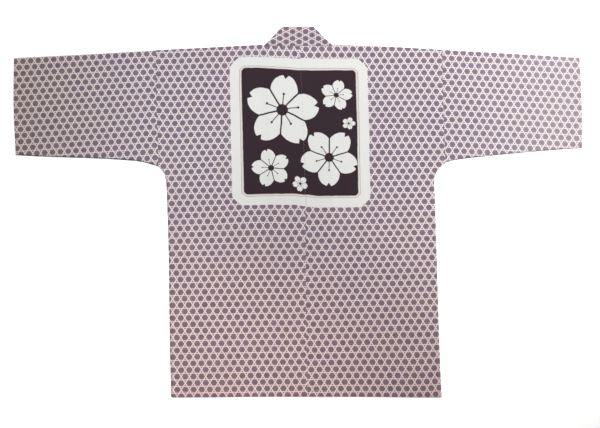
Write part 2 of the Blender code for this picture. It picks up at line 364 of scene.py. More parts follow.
def openness(side, x, y):
    """0 where the upper layer lies on the lower one at a seam, 1 where it is well clear."""
    past_armhole = (x - side.outer.at(y)) * side.outward > 0 and y > side.underarm
    edge_open = SLEEVE_EDGE_OPEN
    if past_armhole:
        edge_distance = y - side.sleeve_low.at(x)
    elif y > side.underarm:
        edge_distance = math.hypot(side.outer.at(y) - x, y - side.underarm)
    else:
        edge_distance = (side.outer.at(y) - x) * side.outward
        edge_open *= ease(1 - (side.underarm - y) / SIDE_EDGE_FADE)
    hem_distance = y - HEM.at(x)
    cuff_distance = (side.cuff.at(0.5) - x) * side.outward
    return (blend(edge_open, 1, ease(edge_distance / EDGE_REACH))
            * blend(HEM_OPEN, 1, ease(hem_distance / HEM_REACH))
            * blend(CUFF_OPEN, 1, ease(cuff_distance / CUFF_REACH)))


def seam_form(distance, along, welt):
    """Height that a seam adds at a distance from it: its dip, its puckers and its welt."""
    dip = SEAM_DIP * math.exp(-(distance / SEAM_DIP_REACH) ** 2)
    pucker = PUCKER_RISE * ripple(along, distance / PUCKER_LENGTH, PUCKER_PITCH, PUCKER_SEED)
    rise = WELT_RISE * welt * ease((WELT_WIDTH + WELT_SLOPE / 2 - distance) / WELT_SLOPE)
    return rise - dip + pucker * math.exp(-distance / PUCKER_REACH)


def upper_height(side, x, y):
    """Height of the middle of the upper layer: the coat's back and the sleeves' back."""
    left = sewn_edge(LEFT, y) - BAND_REACH
    right = sewn_edge(RIGHT, y) + BAND_REACH
    over_band = ease((x - left) / BAND_REACH) * ease((right - x) / BAND_REACH)
    clear = openness(side, x, y)
    waves = sum(rise * ripple(x, y, pitch, seed) for rise, pitch, seed in WAVES)
    lift = OPEN_LIFT + crease_rise(CREASES, x, y) + waves
    height = SEWN_HEIGHT + BAND_LIFT * over_band + clear * lift
    past_seam = (x - side.outer.at(y)) * side.outward
    if y > side.underarm - SEAM_PAST_UNDERARM:
        height += seam_form(abs(past_seam), y, 1 if past_seam < 0 else 0)
    if y < side.underarm:
        from_welt = (past_seam + SIDE_WELT_INSET) / SIDE_WELT_REACH
        height += (SIDE_WELT_RISE * ease((side.underarm - y) / SIDE_WELT_START)
                   * math.exp(-from_welt ** 2))
    if abs(x) < CENTRE_SEAM_NEAR:
        # The centre seam hardly shows on the panel and above it
        beside = x - CENTRE_SEAM.at(y)
        depth = blend(1, PANEL_SEAM_DEPTH, ease(y / PANEL_SEAM_FADE))
        height += depth * seam_form(abs(beside), y + CENTRE_PUCKERS_ON,
                                    1 if beside > 0 else 0)
    return height


def lower_height(x, y):
    """Height of the middle of the fronts, which lie on the surface but for a few creases."""
    return FRONT_HEIGHT + crease_rise(LOWER_CREASES, x, y)


def shares(length, fine_start, fine_end):
    """Shares of a length in steps of a cell, closer together beside a seam."""
    count = max(round(length / CELL), 1)
    found = [step / count for step in range(count + 1)]
    if fine_start:
        found += [step / length for step in EDGE_STEPS]
    if fine_end:
        found += [1 - step / length for step in EDGE_STEPS]
    return sorted(found)


def settle(share, edge, top, bottom):
    """X where a line up the coat is crossed, a share of the way from bottom to top."""
    y = blend(HEM_Y, NECK_Y, share)
    for _ in range(SETTLE_ROUNDS):
        x = edge(y)
        y = blend(bottom(x), top(x), share)
    return x


def turn(height):
    """Steps round a fold between FRONT_HEIGHT and height: reach, height and cloth taken up."""
    radius = (height - FRONT_HEIGHT) / 2
    for step in range(TURN_STEPS + 1):
        angle = math.pi * step / TURN_STEPS
        reach = radius * math.sin(angle)
        yield reach, FRONT_HEIGHT + radius * (1 - math.cos(angle)), radius * angle


def leaning_turn(height, lean):
    """The same for a sleeve's lower edge, whose upper layer ends further in than the lower."""
    steps = []
    for reach, z, arc in turn(height):
        share = (z - FRONT_HEIGHT) / (height - FRONT_HEIGHT)
        steps.append((reach - lean * share, z, arc))
    return steps


def turn_up_steps():
    """Steps round the fold of a hem and back along it: reach, inward offset, cloth taken up."""
    steps = []
    for step in range(1, ROUND_STEPS + 1):
        angle = math.pi * step / ROUND_STEPS
        steps.append((TURN_UP_RADIUS * math.sin(angle), TURN_UP_RADIUS * (1 - math.cos(angle)),
                      TURN_UP_RADIUS * angle))
    return steps + [(-depth, 2 * TURN_UP_RADIUS, math.pi * TURN_UP_RADIUS + depth)
                    for depth in TURN_UP_DEPTHS]


def body_patches(side):
    """A body length: front turn-up, front, shoulder, back, back turn-up, and the side seam."""
    grain = side.body_grain
    neck_line = NECK_Y - NECK_SEAM_GAP
    hem_fold = WALL / 2 + TURN_UP_RADIUS

    def shoulder_line(x):
        return side.shoulder.at(x) - NECK_DROP

    def back_hem(x):
        return HEM.at(x) + hem_fold

    def front_hem(x):
        return back_hem(x) + FRONT_HEM_SET_BACK

    def front_edge(y):
        return sewn_edge(side, y) + SEAM_GAP * side.outward

    @cache
    def fold_of(x):
        height = upper_height(side, x, shoulder_line(x))
        radius = (height - FRONT_HEIGHT) / 2
        return side.shoulder.at(x) - WALL / 2 - radius, height, radius

    columns = shares(SHOULDER_WIDTH, True, True)
    neck_columns = shares(NECK_WIDTH, False, True)[1:]
    rows_up = sorted([step / BODY_STEPS for step in range(BODY_STEPS + 1)]
                     + [1 - step / BODY_LENGTH for step in EDGE_STEPS])

    front = []
    for share in rows_up:
        outer_x = settle(share, partial(outer_edge, side), shoulder_line, front_hem)
        inner_x = settle(share, front_edge, shoulder_line, front_hem)
        if share == 1:
            inner_x = side.neck_x
        row = []
        for column in columns:
            x = blend(outer_x, inner_x, column)
            y = blend(front_hem(x), shoulder_line(x), share)
            fold_y, _, radius = fold_of(x)
            row.append(Spot(x, y, lower_height(x, y),
                            *past_fold(grain, x, y, fold_y, math.pi * radius)))
        front.append(row)

    under_hem = [[Spot(p.x, p.y - reach, p.z + offset, p.u, p.v + arc) for p in front[0]]
                 for reach, offset, arc in reversed(turn_up_steps())]

    shoulder_columns = []
    for p in front[-1]:
        fold_y, height, _ = fold_of(p.x)
        u, v = on_cloth(grain, p.x, fold_y)
        steps = list(turn(height))
        full = steps[-1][2]
        shoulder_columns.append([Spot(p.x, fold_y + reach, z, u, v + full - arc)
                                 for reach, z, arc in steps])
    shoulder = list(zip(*shoulder_columns))

    back = []
    for share in reversed(rows_up):
        outer_x = settle(share, partial(outer_edge, side), shoulder_line, back_hem)
        seam_x = settle(share, CENTRE_SEAM.at, lambda x: neck_line, back_hem)
        seam_x += side.outward * SEAM_GAP / 2
        bend = ease((share - COLUMN_BEND) / (1 - COLUMN_BEND))
        neck_x = blend(blend(outer_x, seam_x, COLUMN_DIVIDE), side.neck_x, bend)
        row = []
        for column in columns:
            x = blend(outer_x, neck_x, column)
            row.append((x, blend(back_hem(x), shoulder_line(x), share)))
        for column in neck_columns:
            x = blend(neck_x, seam_x, column)
            row.append((x, blend(back_hem(x), neck_line, share)))
        back.append([Spot(x, y, upper_height(side, x, y), *on_cloth(grain, x, y))
                     for x, y in row])

    over_hem = []
    for reach, offset, arc in turn_up_steps():
        over_hem.append([Spot(p.x, p.y - reach,
                              upper_height(side, p.x, max(p.y, p.y - reach)) - offset,
                              p.u, p.v - arc) for p in back[-1]])

    join = [back[0][:len(columns)]]
    patches = [under_hem + front + shoulder + join, back + over_hem]

    # The side seam, which joins the back's outer edge to the front's below the underarm
    back_half, front_half = [], []
    for upper, lower in zip(reversed(back), front):
        a, b = upper[0], lower[0]
        if a.y > side.underarm:
            break
        x = side.outer.at(a.y) - side.outward * WALL / 2
        y, z = (a.y + b.y) / 2, (a.z + b.z) / 2
        roll = (a.z - b.z) / 2
        back_half.append([a, Spot(x, y, z, a.u + side.outward * roll, a.v)])
        front_half.append([Spot(x, y, z, b.u + side.outward * roll, b.v), b])
    return patches + [back_half, front_half]


def sleeve_patches(side):
    """A sleeve: rings from the armhole to the cuff, and the cuff's turn-up inside them."""
    grain = side.sleeve_grain
    across_shares = shares(SLEEVE_WIDTH, False, False)

    def radius(x, y):
        return (upper_height(side, x, y) - FRONT_HEIGHT) / 2

    def ends(fold_x, edge_x):
        """Y of the middle of the wall at the upper fold and at the lower edge."""
        return side.shoulder.at(fold_x) - WALL / 2, side.sleeve_low.at(edge_x) + WALL / 2

    seam_x = side.outer.at(side.underarm)
    top, low = ends(side.outer.at(side.outer.rows[-1][0]), seam_x)
    seam_top = top - radius(side.outer.at(top), top)
    seam_low = low + radius(seam_x, low)
    cuff_fold = WALL / 2 + TURN_UP_RADIUS

    def column_x(across, along):
        at_seam = side.outer.at(blend(seam_top, seam_low, across)) + side.outward * SEAM_GAP
        return blend(at_seam, side.cuff.at(across) - side.outward * cuff_fold, along)

    rings = []
    for along in shares(SLEEVE_LENGTH, True, False):
        xs = [column_x(share, along) for share in across_shares]
        top, low = ends(xs[0], xs[-1])
        fold_height = upper_height(side, xs[0], top)
        edge_height = upper_height(side, xs[-1], low)
        lean = EDGE_LEAN * ease(along * SLEEVE_LENGTH / EDGE_LEAN_REACH)
        edge = leaning_turn(edge_height, lean)
        fold_y = top - (fold_height - FRONT_HEIGHT) / 2
        edge_y = low + max(reach for reach, z, arc in edge)
        over, under = [], []
        fold_arc = math.pi * (fold_height - FRONT_HEIGHT) / 2
        for share, x in zip(across_shares, xs):
            height = upper_height(side, x, blend(top, low, share))
            y = blend(fold_y, edge_y + lean, share)
            over.append(Spot(x, y, height, *on_cloth(grain, x, y)))
            y = blend(fold_y, edge_y, share)
            rise = (crease_rise(LOWER_CREASES, x, y) * ease(share * UNDER_CREASE_FADE)
                    * ease((1 - share) * UNDER_CREASE_FADE))
            under.append(Spot(x, y, FRONT_HEIGHT + rise,
                              *past_fold(grain, x, y, fold_y, fold_arc)))
        fold = [Spot(xs[0], fold_y + reach, z, over[0].u, over[0].v + fold_arc - arc)
                for reach, z, arc in list(turn(fold_height))[1:-1]]
        edge = edge[1:-1]
        middle = len(edge) // 2
        edge_arc = math.pi * (edge_height - FRONT_HEIGHT) / 2
        rising = [Spot(xs[-1], edge_y - reach, z, under[-1].u, under[-1].v + arc)
                  for reach, z, arc in edge[:middle + 1]]
        falling = [Spot(xs[-1], edge_y - reach, z, over[-1].u, over[-1].v - edge_arc + arc)
                   for reach, z, arc in edge[middle:]]
        rings.append(list(reversed(rising)) + list(reversed(under)) + fold + over
                     + list(reversed(falling)))

    last = rings[-1]
    count = len(last) - 1
    inward = []
    for index in range(count + 1):
        before, after = last[(index - 1) % count], last[(index + 1) % count]
        along_y, along_z = after.y - before.y, after.z - before.z
        length = math.hypot(along_y, along_z)
        inward.append((-along_z / length, along_y / length))
    for reach, offset, arc in turn_up_steps():
        rings.append([Spot(p.x + side.outward * reach, p.y + n[0] * offset, p.z + n[1] * offset,
                           p.u + side.outward * arc, p.v) for p, n in zip(last, inward)])
    return [rings]


def band_section(width):
    """Round the band from its sewn edge: share across, offset from its middle, cloth used."""
    across = shares(width, False, False)
    arc = math.pi * BAND_HALF
    section = [(share, -BAND_HALF, 0.0, share * width) for share in across]
    for step in range(1, ROUND_STEPS):
        angle = math.pi * step / ROUND_STEPS
        section.append((1.0, -BAND_HALF * math.cos(angle), BAND_HALF * math.sin(angle),
                        width + BAND_HALF * angle))
    section += [(share, BAND_HALF, 0.0, width + arc + (1 - share) * width)
                for share in reversed(across)]
    for step in range(1, ROUND_STEPS):
        angle = math.pi * step / ROUND_STEPS
        section.append((0.0, BAND_HALF * math.cos(angle), -BAND_HALF * math.sin(angle),
                        2 * width + arc + BAND_HALF * angle))
    section.append((0.0, -BAND_HALF, 0.0, 2 * width + 2 * arc))
    return section


def collar_patches():
    """The band: up one front edge, folded at the neck corner, over the neck and down again."""

    def front_run(side):
        rows = []
        length = NECK_Y - HEM_Y
        for share in shares(length, False, False):
            sewn_y = blend(NECK_Y, HEM.at(side.run.sewn_hem) + FRONT_HEM_SET_BACK, share)
            free_y = sewn_y + (COLLAR_TOP_Y - NECK_Y) * ease(1 - (NECK_Y - sewn_y) / CORNER_TURN)
            free_x = free_edge(side, min(free_y, NECK_Y))
            rows.append((Vector((sewn_edge(side, sewn_y), sewn_y, BAND_HEIGHT)),
                         Vector((free_x, free_y, BAND_HEIGHT))))
        return rows

    def corner(side):
        radius = (NECK_BAND_HEIGHT - BAND_HEIGHT) / 2
        rows = []
        for step in range(1, TURN_STEPS + 1):
            angle = math.pi * step / TURN_STEPS
            bulge = side.outward * radius * math.sin(angle) * math.sqrt(2)
            height = BAND_HEIGHT + radius * (1 - math.cos(angle))
            rows.append((Vector((side.run.sewn_neck + bulge, NECK_Y, height)),
                         Vector((side.run.free_neck + bulge, COLLAR_TOP_Y, height))))
        return rows

    left_run = list(reversed(front_run(LEFT)))
    right_run = front_run(RIGHT)
    neck = []
    for share in shares(RIGHT.run.sewn_neck - LEFT.run.sewn_neck, False, False)[1:-1]:
        sewn_x = blend(LEFT.run.sewn_neck, RIGHT.run.sewn_neck, share)
        free_x = blend(LEFT.run.free_neck, RIGHT.run.free_neck, share)
        neck.append((Vector((sewn_x, NECK_Y, NECK_BAND_HEIGHT)),
                     Vector((free_x, COLLAR_TOP_Y, NECK_BAND_HEIGHT))))
    rows = left_run + corner(LEFT) + neck + list(reversed(corner(RIGHT))) + right_run
    section = band_section(BAND_WIDTH)
    neck_start = len(left_run) - 1
    neck_end = len(rows) - len(right_run)

    rings = []
    travelled = 0.0
    for index, (sewn, free) in enumerate(rows):
        before = rows[max(index - 1, 0)]
        after = rows[min(index + 1, len(rows) - 1)]
        middle = (sewn + free) / 2
        path = (after[0] + after[1] - before[0] - before[1]).normalized()
        travelled += (middle - (before[0] + before[1]) / 2).length
        across = (free - sewn).normalized()
        normal = across.cross(path).normalized()
        ring = []
        for share, offset, beyond, used in section:
            inset = blend(BAND_HALF + WALL / 2, -(BAND_HALF + WALL / 2), share)
            spot = sewn.lerp(free, share) + across * (inset + beyond) + normal * offset
            ring.append((spot, used, travelled))
        rings.append(ring)

    def run_patch(part):
        return [[Spot(*spot, used, path) for spot, used, path in ring] for ring in part]

    neck_patch = []
    for ring in rings[neck_start:neck_end + 1]:
        row = []
        for spot, used, path in ring:
            u = (spot.y - COLLAR_HEXAGON[1]) * COLLAR_ACROSS
            if used > BAND_WIDTH:
                u = (COLLAR_TOP_Y - COLLAR_HEXAGON[1] + used - BAND_WIDTH) * COLLAR_ACROSS
            row.append(Spot(*spot, u, (spot.x - COLLAR_HEXAGON[0]) * COLLAR_ALONG))
        neck_patch.append(row)
    return [run_patch(rings[:neck_start + 1]), neck_patch, run_patch(rings[neck_end:])], rings


def band_ends(rings):
    """Closes each end of the band with small faces between its two layers."""
    half = len(shares(BAND_WIDTH, False, False))
    bend = ROUND_STEPS - 1
    patches = []
    for ring in (rings[0], rings[-1]):
        spots = [Spot(*spot, used, path) for spot, used, path in ring]
        low, free_fold, high, sewn_fold = (spots[start:start + count] for start, count in (
            (0, half), (half, bend), (half + bend, half), (2 * half + bend, bend)))
        patches.append([
            [sewn_fold[1], sewn_fold[2]] + low + [free_fold[0], free_fold[1]],
            [sewn_fold[1], sewn_fold[0]] + high[::-1] + [free_fold[2], free_fold[1]]])
    return patches


def on_panel(side, spot):
    """Where a point is on the back's dyed panel. The dye runs on across the centre seam, so
    beside it each length's own place is drawn to half way between the two lengths'."""
    other = RIGHT if side is LEFT else LEFT
    beside = abs(spot.x - CENTRE_SEAM.at(spot.y))
    share = 0.5 * ease(1 - beside / PANEL_MERGE)
    own = (spot.u - side.panel[0], spot.v - side.panel[1])
    u, v = on_cloth(other.body_grain, spot.x, spot.y)
    return blend(own[0], u - other.panel[0], share), blend(own[1], v - other.panel[1], share)


def on_sleeve_edge(side, spot):
    """How far a point is above a sleeve's lower edge, and how strongly painted shade darkens that
    edge.
    """
    return spot.y - side.sleeve_low.at(spot.x), side.edge_shade / METRES


def new_object(name, data):
    """An object that is in the scene."""
    thing = bpy.data.objects.new(name, data)
    bpy.context.scene.collection.objects.link(thing)
    return thing


def cloth_object(name, patches, material, extra=None, place_on=None):
    """One piece of cloth through its patches, joined where they meet, made a thin wall. Place_on
    gives each spot's place for a further map, named extra."""
    bm = bmesh.new()
    lattice = bm.loops.layers.uv.new("lattice")
    further = bm.loops.layers.uv.new(extra) if extra else None
    corners = {}

    def corner(spot):
        key = tuple(round(value, 3) for value in spot[:3])
        if key not in corners:
            corners[key] = bm.verts.new([value * METRES for value in spot[:3]])
        return corners[key]

    for rows in patches:
        for row, following in zip(rows, rows[1:]):
            for index in range(min(len(row), len(following)) - 1):
                spots = (row[index], row[index + 1], following[index + 1], following[index])
                verts = [corner(spot) for spot in spots]
                kept = [i for i in range(4) if verts[i] is not verts[i - 1]]
                if len(kept) < 3 or bm.faces.get([verts[i] for i in kept]):
                    continue
                face = bm.faces.new([verts[i] for i in kept])
                for loop, i in zip(face.loops, kept):
                    loop[lattice].uv = (spots[i].u * METRES, spots[i].v * METRES)
                    if extra:
                        u, v = place_on(spots[i])
                        loop[further].uv = (u * METRES, v * METRES)
    bmesh.ops.recalc_face_normals(bm, faces=bm.faces)
    mesh = bpy.data.meshes.new(name)
    bm.to_mesh(mesh)
    bm.free()
    mesh.shade_smooth()
    mesh.materials.append(material)
    piece = new_object(name, mesh)
    wall = piece.modifiers.new("Wall", "SOLIDIFY")
    wall.thickness = WALL * METRES
    wall.offset = 0
    wall.use_even_offset = True
    wall.use_quality_normals = True
    return piece


def linear(code):
    """A linear colour from an sRGB hex code."""
    parts = [int(code[i:i + 2], 16) / 255 for i in (0, 2, 4)]
    return (*[p / 12.92 if p <= 0.04045 else ((p + 0.055) / 1.055) ** 2.4 for p in parts], 1.0)


def add_node(tree, kind, feeds=(), operation=None, out=0, **settings):
    """Adds a node, sets it up, feeds its inputs and gives the output that is wanted."""
    made = tree.nodes.new(kind)
    if operation:
        made.operation = operation
    for name, value in settings.items():
        setattr(made, name, value)
    pairs = feeds.items() if isinstance(feeds, dict) else enumerate(feeds)
    for key, value in pairs:
        if isinstance(value, bpy.types.NodeSocket):
            tree.links.new(value, made.inputs[key])
        elif value is not None:
            made.inputs[key].default_value = value
    return made.outputs[out] if made.outputs else made


def new_material(name):
    """A bare material, and the add function of its node tree."""
    material = bpy.data.materials.new(name)
    material.use_nodes = True
    material.node_tree.nodes.clear()
    return material, partial(add_node, material.node_tree)


# Kinds of node. A range takes its value, from low, from high, to low and to high. A mix of
# colours takes its share as input 0 and the two colours as inputs 6 and 7.
MATH = "ShaderNodeMath"
RANGE = "ShaderNodeMapRange"
MIX = "ShaderNodeMix"
NOISE = "ShaderNodeTexNoise"
VECTOR = "ShaderNodeVectorMath"
PARTS = "ShaderNodeSeparateXYZ"
UV_MAP = "ShaderNodeUVMap"
COLOURS = {"out": 2, "data_type": "RGBA"}
TINTED = {**COLOURS, "blend_type": "MULTIPLY"}
SMOOTH = {"interpolation_type": "SMOOTHSTEP"}


# How far dyed edges stray, in millimetres, and the scale of the noise that moves them
LATTICE_STRAY = (0.9, 160.0)
PANEL_STRAY = (2.0, 60.0)

# Softness of the dyed edges, in millimetres
LINE_BLEED = 0.35
PANEL_BLEED = 0.4

# Millimetres between the threads of the drawn weave, and how long and thick its slubs are drawn
THREAD_GAP = 1.0
SLUB_SCALES = (900.0, 45.0)


def stray(add, place, reach, scale):
    """A place on the cloth moved a little by soft noise, as dye isn't laid by a ruler."""
    wander = add(NOISE, {"Vector": place, "Scale": scale, "Detail": 2.0}, out=1)
    nudge = add(VECTOR, (wander, (0.5, 0.5, 0.5)), "SUBTRACT")
    reach *= METRES
    return add(VECTOR, (nudge, (reach, reach, 0.0), place), "MULTIPLY_ADD")


def lattice_lines(add, place):
    """1 on the lattice's pale lines and 0 on the dyed ground, at a place on the cloth."""
    apart = add(PARTS, (stray(add, place, *LATTICE_STRAY),)).node
    along = add(MATH, (apart.outputs[0], LATTICE_PITCH * METRES), "DIVIDE")
    up = add(MATH, (apart.outputs[1], LATTICE_ROW * METRES), "DIVIDE")
    half_up = add(MATH, (up, 0.5), "MULTIPLY")
    falling = add(MATH, (along, half_up), "SUBTRACT")
    rising = add(MATH, (along, half_up), "ADD")
    slant_gap = 1 / math.hypot(1 / LATTICE_PITCH, 0.5 / LATTICE_ROW)
    lines = []
    for count, gap, width in ((up, LATTICE_ROW, ROW_LINE), (falling, slant_gap, SLANT_LINE),
                              (rising, slant_gap, SLANT_LINE)):
        share = add(MATH, (count,), "FRACT")
        away = add(MATH, (share, 0.5), "SUBTRACT")
        away = add(MATH, (away,), "ABSOLUTE")
        half = width / 2 / gap
        bleed = LINE_BLEED / gap
        lines.append(add(RANGE, (away, half - bleed, half + bleed, 1.0, 0.0), **SMOOTH))
    both = add(MATH, (lines[0], lines[1]), "MAXIMUM")
    return add(MATH, (both, lines[2]), "MAXIMUM")


def uneven_dye(add, place, deep, warm, fresh):
    """The dyed ground's colour: three near shades in soft patches, as dye takes unevenly."""
    broad = add(NOISE, {"Vector": place, "Scale": 14.0, "Detail": 3.0})
    small = add(NOISE, {"Vector": place, "Scale": 75.0, "Detail": 2.0})
    to_warm = add(RANGE, (broad, 0.35, 0.65, 0.0, 1.0))
    to_fresh = add(RANGE, (small, 0.35, 0.65, 0.0, 0.8))
    tone = add(MIX, {0: to_warm, 6: deep, 7: warm}, **COLOURS)
    return add(MIX, {0: to_fresh, 6: tone, 7: fresh}, **COLOURS)


def weave(add, place):
    """Height of a plain weave with slubs, and the slubs alone. Threads are drawn twice as far
    apart as real ones, so that they show."""
    apart = add(PARTS, (place,)).node
    threads = []
    for axis, scales in enumerate((SLUB_SCALES, SLUB_SCALES[::-1])):
        phase = add(MATH, (apart.outputs[axis], 2 * math.pi / (THREAD_GAP * METRES)), "MULTIPLY")
        threads.append(add(MATH, (phase,), "SINE"))
        drawn = add("ShaderNodeMapping", {"Vector": place, "Scale": (*scales, 1.0)})
        threads.append(add(NOISE, {"Vector": drawn, "Scale": 1.0, "Detail": 2.0}))
    crossing = add(MATH, (threads[0], threads[2]), "MULTIPLY")
    slubs = add(MATH, (threads[1], threads[3]), "ADD")
    return add(MATH, (crossing, 0.25, slubs), "MULTIPLY_ADD"), slubs


def cotton(name, finish):
    """Cotton, plain woven and matt: a mauve-grey ground under a pale basket lattice, which
    gives the eye a dotted grey-pink from afar. Finish changes the lattice's colour."""
    material, add = new_material(name)
    place = add(UV_MAP, uv_map="lattice")
    colour = finish(add, graded_lattice(add, place))
    height, slubs = weave(add, place)
    shade = add(RANGE, (slubs, 0.6, 1.4, 0.955, 1.045))
    toned = add(VECTOR, {0: colour, 3: shade}, "SCALE")
    bump = add("ShaderNodeBump", {"Strength": 0.35, "Distance": 0.00012, "Height": height})
    shader = add("ShaderNodeBsdfPrincipled", {
        "Base Color": toned, "Roughness": 0.92, "Normal": bump, "Metallic": 0.0,
        "IOR": 1.47, "Specular IOR Level": 0.25, "Sheen Weight": 0.12, "Sheen Roughness": 0.6})
    add("ShaderNodeOutputMaterial", (shader,))
    return material


# Sizes of the back's dyed panel, from its middle: half width and half height of the dark field,
# how far its corners are cut, how far out the thin line lies and how wide it is, and how far out
# the white surround reaches, across and up, and how far its corners are cut
FIELD_HALF = (131.0, 147.0)
FIELD_CORNER = 6.0
LINE_REACH = 4.6
LINE_WIDTH = 1.3
SURROUND_REACH = (27.0, 26.8)
SURROUND_CORNER = 21.0

# A blossom's drawing, in shares of its radius: a petal's oval, the cleft in its tip, the dark
# line between petals, the dark eye, and the stamens with their round ends
PETAL_MIDDLE = 0.56
PETAL_HALF_LENGTH = 0.45
PETAL_HALF_WIDTH = 0.37
CLEFT_SLOPE = 1.5
CLEFT = (0.88, 0.90)
PARTING = (0.02, 0.035)
EYE = (0.15, 0.17)
STAMEN_END = (0.42, 0.43)
STAMEN_HALF_WIDTH = (0.010, 0.016)
ANTHER_MIDDLE = 0.45
ANTHER_SQUARED = (0.0009, 0.0013)

Blossom = namedtuple("Blossom", "x y radius turn")

# White blossoms scattered over the dark field: x and y from its middle, radius, and turn in
# degrees
BLOSSOMS = (
    Blossom(-38, 48, 84, 12),
    Blossom(66, -58, 66, -20),
    Blossom(-68, -86, 44, 31),
    Blossom(86, 88, 36, 5),
    Blossom(-2, -122, 18, 48),
    Blossom(112, 20, 15, 70),
)


def squares(add, a, b):
    """The sum of two squares."""
    return add(MATH, (add(MATH, (a, 2.0), "POWER"), add(MATH, (b, 2.0), "POWER")), "ADD")


def blossom_group():
    """A node group that draws one five-petalled blossom: 1 on its petals, 0 elsewhere."""
    tree = bpy.data.node_groups.new("five_petalled_blossom", "ShaderNodeTree")
    add = partial(add_node, tree)
    for name, kind in (("Place", "NodeSocketVector"), ("Middle", "NodeSocketVector"),
                       ("Radius", "NodeSocketFloat"), ("Turn", "NodeSocketFloat")):
        tree.interface.new_socket(name, in_out="INPUT", socket_type=kind)
    tree.interface.new_socket("Petals", in_out="OUTPUT", socket_type="NodeSocketFloat")
    given = tree.nodes.new("NodeGroupInput").outputs
    moved = add(VECTOR, (given["Place"], given["Middle"]), "SUBTRACT")
    apart = add(PARTS, (moved,)).node
    angle = add(MATH, (apart.outputs[1], apart.outputs[0]), "ARCTAN2")
    turned = add(MATH, (angle, given["Turn"]), "SUBTRACT")
    length = add(VECTOR, (moved,), "LENGTH", out=1)
    away = add(MATH, (length, given["Radius"]), "DIVIDE")
    petal = 2 * math.pi / 5
    # The angle from the nearest petal's own middle line
    near = add(MATH, (turned, petal / 2, -petal / 2), "WRAP")
    run = add(MATH, (add(MATH, (near,), "COSINE"), away), "MULTIPLY")
    swing = add(MATH, (add(MATH, (near,), "SINE"), away), "MULTIPLY")
    swing = add(MATH, (swing,), "ABSOLUTE")
    # A petal is an oval with a small cleft in its tip and a dark line between it and the next
    along = add(MATH, (run, 1 / PETAL_HALF_LENGTH, -PETAL_MIDDLE / PETAL_HALF_LENGTH),
                "MULTIPLY_ADD")
    beside = add(MATH, (swing, PETAL_HALF_WIDTH), "DIVIDE")
    oval = squares(add, along, beside)
    inside = add(RANGE, (oval, 0.97, 1.03, 1.0, 0.0))
    cleft = add(MATH, (swing, -CLEFT_SLOPE, run), "MULTIPLY_ADD")
    whole = add(RANGE, (cleft, *CLEFT, 1.0, 0.0))
    border = add(MATH, (run, math.tan(petal / 2)), "MULTIPLY")
    border = add(MATH, (border, swing), "SUBTRACT")
    parted = add(RANGE, (border, *PARTING, 0.0, 1.0))
    round_eye = add(RANGE, (away, *EYE, 0.0, 1.0))
    # A stamen on each petal: a thin line with a round end
    stem_end = add(RANGE, (run, *STAMEN_END, 1.0, 0.0))
    stem = add(RANGE, (swing, *STAMEN_HALF_WIDTH, 1.0, 0.0))
    stem = add(MATH, (stem, stem_end), "MULTIPLY")
    from_tip = add(MATH, (run, ANTHER_MIDDLE), "SUBTRACT")
    tip = add(RANGE, (squares(add, from_tip, swing), *ANTHER_SQUARED, 1.0, 0.0))
    drawn = add(MATH, (stem, tip), "MAXIMUM")
    blank = add(MATH, (1.0, drawn), "SUBTRACT")
    total = inside
    for part in (whole, parted, round_eye, blank):
        total = add(MATH, (total, part), "MULTIPLY")
    add("NodeGroupOutput", {"Petals": total})
    return tree


def outside_panel(add, place, half, corner):
    """Distance in metres from a rectangle with cut corners, negative inside it."""
    size = add(VECTOR, (place,), "ABSOLUTE")
    apart = add(PARTS, (size,)).node
    x = add(MATH, (apart.outputs[0], half[0] * METRES), "SUBTRACT")
    y = add(MATH, (apart.outputs[1], half[1] * METRES), "SUBTRACT")
    cut = add(MATH, (x, y), "ADD")
    cut = add(MATH, (cut, corner * METRES), "ADD")
    cut = add(MATH, (cut, math.sqrt(0.5)), "MULTIPLY")
    straight = add(MATH, (x, y), "MAXIMUM")
    return add(MATH, (straight, cut, corner * METRES * 0.35), "SMOOTH_MAX")


GROUND_DEEP = linear("705d70")
GROUND_WARM = linear("7a6468")
GROUND_FRESH = linear("806f85")
PALE_LINE = linear("dad4d5")
CUFF_TINT = linear("f6f0e4")
HEM_TINT = linear("fff0ea")
BAND_TINT = linear("f6f4f4")
# Colour of the painted shade along the sleeves' lower edges
EDGE_SHADE_TINT = linear("c2cacc")
PANEL_WHITE = linear("d8d9d7")
PANEL_DARK = linear("2c1c26")
PANEL_LINE = linear("8d7f80")
PANEL_TINT = linear("cbb7ae")

# Where along the arms or up the coat, in metres, a change of tone starts and is full
PALER_FROM, PALER_TO, PALER = 0.30, 0.62, 0.17
TONE_SHIFTS = ((0, -0.36, -0.66, CUFF_TINT), (1, 0.12, -0.42, HEM_TINT))

# Millimetres above a sleeve's lower edge between which its line of painted shade fades out
EDGE_SHADE_BAND = (3.2, 2.2)


def graded_lattice(add, place):
    """The lattice with slow changes of tone: it is paler towards the right cuff, yellower at the
    left cuff, and warmer towards the hem."""
    ground = uneven_dye(add, place, GROUND_DEEP, GROUND_WARM, GROUND_FRESH)
    lines = lattice_lines(add, place)
    here = add(PARTS, (add("ShaderNodeTexCoord", out=3),)).node
    paler = add(RANGE, (here.outputs[0], PALER_FROM, PALER_TO, 0.0, PALER), **SMOOTH)
    ground = add(MIX, {0: paler, 6: ground, 7: PALE_LINE}, **COLOURS)
    colour = add(MIX, {0: lines, 6: ground, 7: PALE_LINE}, **COLOURS)
    for axis, start, end, tint in TONE_SHIFTS:
        share = add(RANGE, (here.outputs[axis], start, end, 0.0, 1.0))
        colour = add(MIX, {0: share, 6: colour, 7: tint}, **TINTED)
    return colour


def band_finish(add, colour):
    """The collar band's cotton is a little duller."""
    return add(MIX, {0: 1.0, 6: colour, 7: BAND_TINT}, **TINTED)


